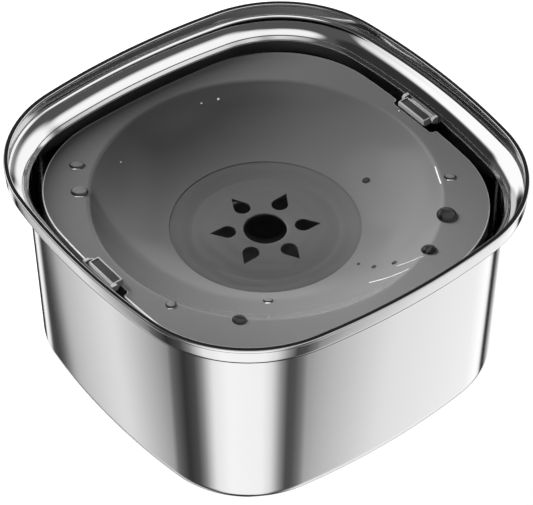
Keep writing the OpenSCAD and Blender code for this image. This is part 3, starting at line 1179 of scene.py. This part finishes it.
@dataclass
class Clip:
    """One clip on the wall, in millimetres from its hinge towards the middle and up."""
    finishes: Finishes
    side: Side
    # The hinge, as it is on the right
    axis_x: float = (PIN_LOW[0] + PIN_HIGH[0]) / 2
    axis_z: float = (PIN_LOW[2] + PIN_HIGH[2]) / 2
    flap_length: float = FLAP_HIGH[1] - FLAP_LOW[1]
    flap_back: float = -0.3
    flap_tip: float = axis_x - FLAP_LOW[0]
    flap_low: float = FLAP_LOW[2] - axis_z
    flap_top: float = FLAP_HIGH[2] - axis_z
    nose_round: float = 1.5
    nose_flats: int = 5
    # The lip round the flap's pocket, with its rounded outside and a small lead on its inside
    lip: float = 0.3
    lip_round: float = 0.5
    lip_lead: float = 0.1
    pocket: float = 1.2
    barrel_r: float = 0.8
    barrel_sides: int = 48
    # The web that joins the barrel to the flap
    web_front: float = 0.3
    web_low: float = -0.8
    web_high: float = -0.2
    web_end: float = 0.4
    # The inlay, and what it leaves of the flap along its sides and at its ends
    grip_thick: float = 0.7
    grip_side: float = 0.6
    grip_end: float = 0.9
    # The wall plate with its ears
    clip_half: float = BASE_HIGH[1]
    plate_back: float = axis_x - BASE_HIGH[0]
    plate_front: float = -1.3
    plate_low: float = BASE_LOW[2] - axis_z
    plate_high: float = 0.2
    plate_round: float = 0.2
    ear_r: float = 1.9
    ear_thick: float = 1.8
    ear_round: float = 0.3
    ear_sides: int = 64
    # The ledge under the flap, and how far it runs into the plate and the ears
    ledge_front: float = 0.5
    ledge_high: float = -1.3
    ledge_into: float = 0.2
    fine_round: float = 0.15
    round_flats: int = 3

    def spot(self, across: float, along: float, up: float) -> Vector:
        """A point by its distance from the hinge towards the middle, along the wall and up."""
        return Vector((self.axis_x - across, along, self.axis_z + up))

    def box(self, name: str, across: Point, up: Point, half: float) -> Object:
        """A box between two distances each way, and as far along the wall on both sides."""
        return block(name, self.spot(across[1], -half, up[0]), self.spot(across[0], half, up[1]))

    def soften(self, piece: Object, width: float) -> None:
        """Rounds every edge of a piece.

        Args:
            piece: the object.
            width: how far the round reaches, in millimetres.
        """
        with editing(piece, "EDGE"):
            bpy.ops.mesh.select_all(action="SELECT")
            bpy.ops.mesh.bevel(offset=mm(width), segments=self.round_flats, affect="EDGES")

    def flap(self) -> Object:
        """Builds the flap.

        Returns:
            The flap with its pocket, its barrel and the web between them.
        """
        half = self.flap_length / 2
        piece = self.box("flap", (self.flap_back, self.flap_tip), (self.flap_low, self.flap_top), half)
        tip = mm(self.axis_x - self.flap_tip) + HAIR
        middle = mm(self.axis_z + (self.flap_low + self.flap_top) / 2)
        with editing(piece, "EDGE"):
            pick(piece, Kind.EDGES, lambda edge: (
                edge_middle(edge).x < tip and edge_way(edge).y > STRAIGHT and edge_middle(edge).z < middle))
            bpy.ops.mesh.bevel(offset=mm(self.nose_round), segments=self.nose_flats, affect="EDGES")
            pick(piece, Kind.FACES, lambda face: face.normal.z > STRAIGHT)
            bpy.ops.mesh.region_to_loop()
            bpy.ops.mesh.bevel(offset=mm(self.lip_round), segments=self.round_flats, affect="EDGES")
        with editing(piece, "FACE"):
            pick(piece, Kind.FACES, lambda face: face.normal.z > STRAIGHT)
            bpy.ops.mesh.inset(thickness=mm(self.lip), depth=0)
            bpy.ops.mesh.inset(thickness=mm(self.lip_lead), depth=-mm(self.lip_lead))
            bpy.ops.mesh.inset(thickness=0, depth=-mm(self.pocket - self.lip_lead))
        barrel = rod("barrel", self.spot(0, 0, 0), self.barrel_r, self.flap_length, self.barrel_sides)
        web = self.box("web", (0, self.web_front), (self.web_low, self.web_high), half - self.web_end)
        return joined(f"clip_{self.side.value}_flap", [piece, barrel, web])

    def grip(self) -> Object:
        """Builds the inlay.

        Returns:
            The inlay on the floor of the pocket.
        """
        low = self.flap_top - self.pocket
        piece = self.box(
            f"clip_{self.side.value}_grip",
            (self.flap_back + self.grip_side, self.flap_tip - self.grip_side),
            (low, low + self.grip_thick), self.flap_length / 2 - self.grip_end)
        self.soften(piece, self.fine_round)
        return piece

    def ear(self, along: float) -> Object:
        """Builds one D-shaped ear.

        Args:
            along: where its middle is along the wall.

        Returns:
            The ear, round towards the middle and straight to the wall.
        """
        middle = self.spot(0, along, 0)
        piece = rod("ear", middle, self.ear_r, self.ear_thick, self.ear_sides)
        with editing(piece):
            bpy.ops.mesh.select_all(action="SELECT")
            bpy.ops.mesh.bisect(plane_co=middle / 1000, plane_no=(1, 0, 0), use_fill=True, clear_outer=True)
            bpy.ops.mesh.extrude_region_move(TRANSFORM_OT_translate={"value": (mm(-self.plate_back), 0, 0)})
        with editing(piece, "EDGE"):
            pick(piece, Kind.FACES, lambda face: abs(face.normal.y) > STRAIGHT)
            bpy.ops.mesh.region_to_loop()
            bpy.ops.mesh.bevel(offset=mm(self.ear_round), segments=self.round_flats, affect="EDGES")
        return piece

    def base(self) -> Object:
        """Builds the base.

        Returns:
            The wall plate with its ears and its ledge.
        """
        plate = self.box(
            "plate", (self.plate_back, self.plate_front), (self.plate_low, self.plate_high), self.clip_half)
        self.soften(plate, self.plate_round)
        ledge = self.box(
            "ledge", (self.plate_back + self.ledge_into, self.ledge_front),
            (self.plate_low, self.ledge_high), self.clip_half - self.ear_thick + self.ledge_into)
        self.soften(ledge, self.fine_round)
        ears = [self.ear(end * (self.clip_half - self.ear_thick / 2)) for end in (-1, 1)]
        return joined(f"clip_{self.side.value}_base", [plate, ledge, *ears])

    def place(self, piece: Object) -> None:
        """Turns a finished piece to its side of the bowl and its faces outwards.

        Args:
            piece: the piece, as it is on the right.
        """
        with editing(piece):
            bpy.ops.mesh.select_all(action="SELECT")
            if self.side is Side.LEFT:
                bpy.ops.transform.rotate(value=pi, orient_axis="Z", center_override=(0, 0, 0))
            bpy.ops.mesh.normals_make_consistent(inside=False)
        smooth(piece)

    def dress(self) -> None:
        """Builds the clip's pieces and gives them their finishes."""
        side = self.side.value
        rows = [
            (self.base(), self.finishes.clip, "bowl", "clip_plastic", f"clip_base_{side}"),
            (self.flap(), self.finishes.clip, f"clip_{side}", "clip_plastic", f"clip_flap_{side}"),
            (self.grip(), self.finishes.grip, f"clip_{side}", "grip_rubber", f"clip_grip_{side}")]
        for piece, finish, body, slot, node in rows:
            self.place(piece)
            self.finishes.dress(piece, finish)
            hand_over(piece, body, [node])


@dataclass
class Pool:
    """The water that stands in the plate's well, in millimetres."""
    finishes: Finishes
    plate: FloatPlate
    # How far the water stays under the well's edge, and the thickness of its skin
    under: float = 0.12
    skin: float = 0.05

    def build(self) -> Object:
        """Builds the water's skin.

        Returns:
            A flat disc in the well.
        """
        edge = self.plate.section()[-1][1]
        deselect()
        bpy.ops.mesh.primitive_circle_add(
            vertices=self.plate.round_flats, radius=mm(self.plate.well_r - self.under), fill_type="NGON",
            location=(0, 0, 0))
        piece = named("well_water")
        with editing(piece):
            bpy.ops.mesh.select_all(action="SELECT")
            bpy.ops.transform.translate(value=(0, 0, mm(edge - self.under)))
        apply(piece, "SOLIDIFY", thickness=mm(self.skin), offset=-1.0)
        return piece

    def dress(self) -> None:
        """Builds the skin and makes it water, whose dark colour paints shade in the well."""
        piece = self.build()
        self.finishes.dress(piece, self.finishes.pool)
        hand_over(piece, "float", [])


class Wet(Enum):
    """How a drop looks: painted dark, painted pale, or white as a painted glint."""
    DEEP = "deep_drops"
    CLEAR = "clear_drops"
    SPRAY = "spray_drops"


@dataclass(frozen=True)
class Drop:
    """One drop of water on the plate, in millimetres."""
    x: float
    y: float
    long: float
    wide: float
    kind: Wet = Wet.DEEP


@dataclass
class Drops:
    """The drops that are left on the plate."""
    finishes: Finishes
    plate: FloatPlate
    # The way the drops lie, in degrees from +X, and how tall they are for their width
    lie: float = -38.0
    flat: float = 0.5
    # The glint in a clear drop's near edge: its place and length as shares of the drop, and its width
    glint_out: float = 0.52
    glint_long: float = 0.55
    glint_wide: float = 0.7
    # Shares of a drop's height: how far down it is cut, how far up it sits, and how far up its painted dark
    # ring reaches
    cut_low: float = 0.25
    sit: float = 0.2
    edge_from: float = 0.6
    segments: int = 40
    rings: int = 24
    # The cut underneath stays crisp, and nothing that turns less than this, in degrees
    crisp: float = 60.0

    def spots(self) -> list[Drop]:
        """The drops of the photograph, the dark ones first."""
        return [
            Drop(63.3, -70.6, 10.4, 10.6), Drop(39.3, -84.7, 7.8, 6.8), Drop(-67.7, -65.7, 7.2, 6.2),
            Drop(61.9, -7.8, 4.2, 3.4), Drop(27.9, -71.8, 2.9, 2.7), Drop(21.4, -63.5, 2.6, 2.4),
            Drop(18.9, -54.1, 1.8, 1.7), Drop(-35.2, -47.4, 5.2, 4.4, Wet.CLEAR),
            Drop(-88.0, -36.4, 5.6, 5.2, Wet.CLEAR), Drop(84.2, -49.1, 6.4, 4.8, Wet.CLEAR),
            Drop(-64.7, 78.3, 8.4, 5.6, Wet.CLEAR), Drop(-75.6, 60.4, 9.4, 7.0, Wet.CLEAR),
            Drop(21.2, 83.7, 1.2, 1.1, Wet.SPRAY), Drop(30.5, 80.7, 1.7, 1.6, Wet.SPRAY),
            Drop(-40.1, 73.4, 1.3, 1.2, Wet.SPRAY), Drop(97.3, 8.2, 0.9, 0.9, Wet.SPRAY)]

    def glints(self) -> list[Drop]:
        """The light that gathers in the near edge of each clear drop."""
        near = radians(self.lie - 90)
        return [
            Drop(
                drop.x + cos(near) * self.glint_out * drop.wide,
                drop.y + sin(near) * self.glint_out * drop.wide,
                self.glint_long * drop.long, self.glint_wide, Wet.SPRAY)
            for drop in self.spots() if drop.kind is Wet.CLEAR]

    def bead(self, drop: Drop) -> Object:
        """Builds one flattened bead of water, on the slope under it.

        Args:
            drop: its place, size and look.

        Returns:
            The bead with its finishes.
        """
        radius = hypot(drop.x, drop.y)
        azimuth = atan2(drop.y, drop.x)
        height, slope = self.plate.height(radius)
        tall = self.flat * drop.wide / 2
        deselect()
        bpy.ops.mesh.primitive_uv_sphere_add(
            segments=self.segments, ring_count=self.rings, radius=mm(1), location=(0, 0, 0))
        piece = named("drop")
        with editing(piece):
            bpy.ops.mesh.select_all(action="SELECT")
            bpy.ops.transform.resize(value=(drop.long / 2, drop.wide / 2, tall))
        self.colour(piece, drop.kind, tall)
        with editing(piece):
            bpy.ops.mesh.bisect(
                plane_co=(0, 0, -mm(tall) * self.cut_low), plane_no=(0, 0, -1), use_fill=True,
                clear_outer=True, threshold=HAIR)
            bpy.ops.mesh.select_all(action="SELECT")
            lie = azimuth - radians(self.lie)
            bpy.ops.transform.rotate(value=lie, orient_axis="Z", center_override=(0, 0, 0))
            bpy.ops.transform.translate(value=(0, 0, mm(tall) * self.sit))
            bpy.ops.transform.rotate(value=slope, orient_axis="Y", center_override=(0, 0, 0))
            bpy.ops.transform.translate(value=(mm(radius), 0, mm(height)))
            bpy.ops.transform.rotate(value=-azimuth, orient_axis="Z", center_override=(0, 0, 0))
        return piece

    def colour(self, piece: Object, kind: Wet, tall: float) -> None:
        """Gives a drop its water with a painted dark ring round its edge, or all white as a painted glint.

        Args:
            piece: the drop, still at the origin.
            kind: how it looks.
            tall: its height in millimetres.
        """
        # Tiny drops and glints are painted white as highlights
        if kind is Wet.SPRAY:
            self.finishes.dress(piece, self.finishes.spray)
            return
        clear = kind is Wet.CLEAR
        water = self.finishes.clear_water if clear else self.finishes.water
        self.finishes.dress(piece, water, self.finishes.painted_drop_ring)
        # Its lower faces take the painted dark ring
        for face in piece.data.polygons:
            if face.center.z < mm(tall) * self.edge_from:
                face.material_index = 1

    def build(self, kind: Wet) -> Object:
        """Builds all drops of one look.

        Args:
            kind: the look.

        Returns:
            The drops as one piece.
        """
        drops = self.spots() + self.glints()
        piece = joined(kind.value, [self.bead(drop) for drop in drops if drop.kind is kind])
        with editing(piece):
            bpy.ops.mesh.select_all(action="SELECT")
            bpy.ops.mesh.normals_make_consistent(inside=False)
        smooth(piece, self.crisp)
        return piece

    def dress(self) -> None:
        """Puts the drops of each look on the float."""
        for kind in Wet:
            hand_over(self.build(kind), "float", [])


@dataclass(frozen=True)
class Streak:
    """A painted reflection line on the dish, between two points, in millimetres."""
    start: Point
    end: Point
    wide: float


@dataclass
class Streaks:
    """The thin lines of painted reflection on the dish, in millimetres."""
    finishes: Finishes
    plate: FloatPlate
    steps: int = 10
    # How far they stand above the plate, and how thick they are
    above: float = 0.08

    def painted_lines(self) -> list[Streak]:
        """The painted reflection lines of the photograph."""
        return [
            Streak((9.6, -73.6), (22.9, -88.4), 0.6), Streak((26.1, -75.9), (33.9, -86.7), 0.14),
            Streak((84.0, -37.7), (77.6, -49.9), 0.6)]

    def strip(self, painted_line: Streak) -> Object:
        """Builds one line of painted reflection.

        Args:
            painted_line: its ends and its width.

        Returns:
            A narrow strip that follows the plate.
        """
        spots = []
        for at in range(self.steps + 1):
            share = at / self.steps
            x = painted_line.start[0] + (painted_line.end[0] - painted_line.start[0]) * share
            y = painted_line.start[1] + (painted_line.end[1] - painted_line.start[1]) * share
            spots.append(Vector((x, y, self.plate.height(hypot(x, y))[0] + self.above)))
        piece = vertex("streak", spots[0] / 1000)
        way = (spots[-1] - spots[0]).normalized()
        aside = way.cross(Vector((0, 0, 1))).normalized() * painted_line.wide
        with editing(piece):
            bpy.ops.mesh.select_all(action="SELECT")
            for spot, after in zip(spots, spots[1:]):
                bpy.ops.mesh.extrude_region_move(TRANSFORM_OT_translate={"value": (after - spot) / 1000})
            bpy.ops.mesh.select_all(action="SELECT")
            bpy.ops.mesh.extrude_region_move(TRANSFORM_OT_translate={"value": aside / 1000})
        return piece

    def build(self) -> Object:
        """Builds the lines of painted reflection.

        Returns:
            The lines as one piece, with their thickness.
        """
        piece = joined("painted_reflection_lines", [self.strip(painted_line) for painted_line in self.painted_lines()])
        apply(piece, "SOLIDIFY", thickness=mm(self.above), offset=1.0)
        tidy_mesh(piece)
        return piece

    def dress(self) -> None:
        """Builds the lines and paints them white as reflections."""
        piece = self.build()
        # White paint for the reflections on the dish
        self.finishes.dress(piece, self.finishes.spray)
        hand_over(piece, "float", [])


@dataclass
class PlainNodes:
    """The solids that are shown as they are, with their finishes."""
    finishes: Finishes

    def looks(self) -> dict[str, Finish]:
        """The finish of each solid, by how its name starts."""
        return {
            "foot": self.finishes.silicone, "outer_seal": self.finishes.silicone,
            "inner_seal": self.finishes.silicone, "float_tray": self.finishes.tray,
            "float_screws": self.finishes.hardware, "clip_pin": self.finishes.hardware,
            "clip_tape": self.finishes.foam}

    def dress(self) -> None:
        """Gives each solid its finish."""
        for name, node in frame["nodes"].items():
            for start, finish in self.looks().items():
                if name.startswith(start):
                    self.finishes.dress(node, finish)
                    LOG.info("%s: %s", name, finish.name)


@dataclass(frozen=True)
class Patch:
    """A bright or dark patch of the surroundings, by its angles in degrees and its level of light."""
    azimuth: float
    elevation: float
    reach: float
    soft: float
    level: float

    def way(self) -> Vector:
        """The direction of its middle."""
        return facing(self.azimuth, self.elevation)


class Beam(Enum):
    """How a lamp throws its light."""
    SOFTBOX = "AREA"
    SPOT = "SPOT"


@dataclass(frozen=True)
class Lamp:
    """A lamp by its direction in degrees, its power in watts and its aim in millimetres."""
    name: str
    beam: Beam
    azimuth: float
    elevation: float
    power: float
    aim: tuple[float, float, float]
    # A spot's cone, in degrees
    cone: float = 0.0
    # Size and distance, in metres
    size: float = 0.1
    away: float = 1.5


@dataclass
class Studio:
    """The floor, the surroundings, the lamps and the camera, in metres and degrees."""
    floor_size: float = 14.0
    floor_grey: str = "#8a8a8a"
    floor_glow: float = 0.965
    # The camera's lens in millimetres, its place about the middle of the rim, and its aim
    lens: float = 188.14
    distance: float = 1.4355
    azimuth: float = -37.87
    elevation: float = 41.49
    rim_height: float = 0.128
    aim_height: float = 0.0653
    aim_aside: float = 0.00054
    # Grey of the surroundings above the horizon, and the rise over which the bands turn into it
    upper: str = "#505050"
    bands_to: float = -0.08
    upper_from: float = 0.12
    # Brightness of what is mirrored, of the dome that lights matt pieces, and of what the camera sees
    mirrored: float = 1.5
    dome: float = 0.13
    white: float = 1.0

    def bands(self) -> list[tuple[float, str]]:
        """What the polished wall mirrors round about: direction in degrees from +X, and grey."""
        return [
            (-180, "#828282"), (-167, "#e6e6e6"), (-150, "#f7f7f7"), (-114, "#f3f3f3"),
            (-104, "#dcdcdc"), (-94, "#8c8c8c"), (-86, "#444444"), (-78, "#4c4c4c"),
            (-68, "#767676"), (-59, "#b4b4b4"), (-45, "#e0e0e0"), (-2, "#fafafa"),
            (5, "#e0e0e0"), (9, "#404040"), (13, "#181818"), (17, "#282828"),
            (22, "#808080"), (43, "#e8e8e8"), (50, "#e8e8e8"), (53, "#181818"),
            (76, "#242424"), (80, "#e8e8e8"), (89, "#e0e0e0"), (97.5, "#1c1c1c"),
            (101.7, "#202020"), (103.7, "#6c6c6c"), (106, "#b0b0b0"), (122, "#dcdcdc"),
            (141, "#646464"), (158, "#2c2c2c"), (172, "#484848"), (180, "#828282")]

    def patches(self) -> list[Patch]:
        """The softboxes and dark flags that stand before the bands, each over those named before it."""
        return [
            Patch(-5, 16, 30, 9, 0.95), Patch(8, -4, 18, 5, 0.95), Patch(-60, 37, 21, 10, 0.95),
            Patch(-95, 40, 16, 9, 0.92), Patch(-128, 41, 15, 8, 0.92), Patch(-150, 42, 14, 8, 0.92),
            Patch(100, 38, 22, 5, 1.0), Patch(148, 28, 22, 6, 0.03), Patch(54, 15, 28, 3, 0.02),
            Patch(42, 12, 18, 4, 0.95), Patch(84, 14, 10, 4, 0.6), Patch(52, -12, 16, 3, 0.02),
            Patch(52, 44, 11, 4, 0.02), Patch(142, -6, 18, 5, 0.02), Patch(-60, -2, 14, 4, 0.02),
            Patch(0, -90, 14, 5, 0.03)]

    def lamps(self) -> list[Lamp]:
        """The key light from behind, and spots that lift the plate's border."""
        return [
            Lamp("key", Beam.SOFTBOX, 108, 38, 44.0, (0, 0, 65), size=0.6),
            Lamp("near spot", Beam.SPOT, 100, 46, 115.0, (0, -98, 104), cone=7.0),
            Lamp("corner spot", Beam.SPOT, 100, 46, 110.0, (-38, -100, 106), cone=3.4),
            Lamp("right spot", Beam.SPOT, 100, 46, 100.0, (68, -98, 106), cone=2.8),
            Lamp("left spot", Beam.SPOT, 60, 50, 60.0, (-86, -16, 98), cone=5.5)]

    def surroundings(self, tree: NodeTree) -> NodeSocket:
        """What shiny pieces mirror.

        Args:
            tree: the world's node tree.

        Returns:
            The socket of its colour: bands round about, one grey above them, and the patches.
        """
        way = add_node(tree, "ShaderNodeTexCoord").outputs["Generated"]
        parts = add_node(tree, "ShaderNodeSeparateXYZ", {0: way})
        turn = add_node(
            tree, "ShaderNodeMath", {0: parts.outputs["Y"], 1: parts.outputs["X"]}, operation="ARCTAN2")
        share = add_node(
            tree, "ShaderNodeMapRange", {"Value": turn.outputs[0], "From Min": -pi, "From Max": pi})
        round_about = add_node(tree, "ShaderNodeValToRGB", {0: share.outputs["Result"]})
        bands = self.bands()
        stops = round_about.color_ramp.elements
        while len(stops) < len(bands):
            stops.new(0.5)
        for stop, (angle, grey) in zip(stops, bands):
            stop.position = (angle + 180) / 360
            stop.color = linear(grey)
        rise = add_node(
            tree, "ShaderNodeMapRange",
            {"Value": parts.outputs["Z"], "From Min": self.bands_to, "From Max": self.upper_from},
            interpolation_type="SMOOTHSTEP")
        sky = add_node(
            tree, "ShaderNodeMixRGB",
            {"Fac": rise.outputs["Result"], "Color1": round_about.outputs["Color"],
             "Color2": linear(self.upper)})
        for patch in self.patches():
            near = add_node(
                tree, "ShaderNodeVectorMath", {0: way, 1: patch.way()}, operation="DOT_PRODUCT")
            mask = add_node(
                tree, "ShaderNodeMapRange",
                {"Value": near.outputs["Value"], "From Min": cos(radians(patch.reach + patch.soft)),
                 "From Max": cos(radians(patch.reach - patch.soft))}, interpolation_type="SMOOTHSTEP")
            sky = add_node(
                tree, "ShaderNodeMixRGB",
                {"Fac": mask.outputs["Result"], "Color1": sky.outputs["Color"],
                 "Color2": (*[patch.level] * 3, 1.0)})
        return sky.outputs["Color"]

    def world(self) -> None:
        """White to the camera, an even dome for matt pieces, and the surroundings for shiny ones."""
        world = bpy.data.worlds.new("studio")
        bpy.context.scene.world = world
        world.use_nodes = True
        tree = world.node_tree
        tree.nodes.clear()
        mirrored = add_node(
            tree, "ShaderNodeBackground", {"Color": self.surroundings(tree), "Strength": self.mirrored})
        dome = add_node(
            tree, "ShaderNodeBackground", {"Color": linear("#ffffff"), "Strength": self.dome})
        white = add_node(
            tree, "ShaderNodeBackground", {"Color": linear("#ffffff"), "Strength": self.white})
        path = add_node(tree, "ShaderNodeLightPath")
        light = dome.outputs[0]
        for ray, seen in (
                ("Is Glossy Ray", mirrored), ("Is Transmission Ray", mirrored), ("Is Camera Ray", white)):
            both = add_node(
                tree, "ShaderNodeMixShader", {0: path.outputs[ray], 1: light, 2: seen.outputs[0]})
            light = both.outputs[0]
        add_node(tree, "ShaderNodeOutputWorld", {"Surface": light})

    def floor(self) -> None:
        """A pale floor that keeps the shadow and lets the steel mirror the bands below the horizon."""
        deselect()
        bpy.ops.mesh.primitive_plane_add(size=self.floor_size, location=(0, 0, 0))
        piece = named("floor")
        # A paper sweep under studio light: matt and nearly white, with a soft grey shadow
        made = bpy.data.materials.new("white paper sweep")
        made.use_nodes = True
        tree = made.node_tree
        tree.nodes.clear()
        matt = add_node(tree, "ShaderNodeBsdfDiffuse", {"Color": linear(self.floor_grey)})
        glow = add_node(
            tree, "ShaderNodeEmission", {"Color": linear("#ffffff"), "Strength": self.floor_glow})
        both = add_node(tree, "ShaderNodeAddShader", {0: matt.outputs[0], 1: glow.outputs[0]})
        clear = add_node(tree, "ShaderNodeBsdfTransparent")
        path = add_node(tree, "ShaderNodeLightPath")
        seen = add_node(
            tree, "ShaderNodeMixShader",
            {0: path.outputs["Is Glossy Ray"], 1: both.outputs[0], 2: clear.outputs[0]})
        add_node(tree, "ShaderNodeOutputMaterial", {"Surface": seen.outputs[0]})
        piece.data.materials.append(made)

    def hang(self, lamp: Lamp) -> None:
        """Hangs one lamp, out of sight of everything shiny.

        Args:
            lamp: the lamp.
        """
        data = bpy.data.lights.new(lamp.name, lamp.beam.value)
        data.energy = lamp.power
        if lamp.beam is Beam.SOFTBOX:
            data.size = lamp.size
        else:
            data.shadow_soft_size = lamp.size / 2
            data.spot_size = radians(lamp.cone)
            data.spot_blend = 1.0
        made = bpy.data.objects.new(lamp.name, data)
        bpy.context.scene.collection.objects.link(made)
        made.location = facing(lamp.azimuth, lamp.elevation) * lamp.away
        made.visible_glossy = False
        aim = Vector(lamp.aim) / 1000 - made.location
        made.rotation_euler = aim.to_track_quat("-Z", "Y").to_euler()

    def camera(self) -> None:
        """The camera of the photograph."""
        data = bpy.data.cameras.new("camera")
        data.lens = self.lens
        data.sensor_fit = "HORIZONTAL"
        made = bpy.data.objects.new("camera", data)
        bpy.context.scene.collection.objects.link(made)
        back = facing(self.azimuth - 90, self.elevation)
        made.location = Vector((0, 0, self.rim_height)) + back * self.distance
        aim = Vector((0, 0, self.aim_height)) + facing(self.azimuth, 0) * self.aim_aside
        made.rotation_euler = (aim - made.location).to_track_quat("-Z", "Y").to_euler()
        bpy.context.scene.camera = made

    def build(self) -> None:
        """Sets everything round the bowl."""
        self.world()
        self.floor()
        for lamp in self.lamps():
            self.hang(lamp)
        self.camera()
        bpy.context.scene.view_settings.view_transform = "Standard"
        LOG.info("studio: world, floor, lamps and camera")


def main() -> None:
    """Builds the pieces in order, then the studio."""
    logging.basicConfig(level=logging.INFO, format="%(name)s: %(message)s")
    finishes = Finishes()
    plate = FloatPlate(finishes)
    assemblies = [
        BowlShell(finishes), plate, Clip(finishes, Side.RIGHT), Clip(finishes, Side.LEFT),
        Pool(finishes, plate), Drops(finishes, plate), Streaks(finishes, plate), PlainNodes(finishes)]
    for assembly in assemblies:
        assembly.dress()
    Studio().build()


if __name__ == "__main__":
    main()
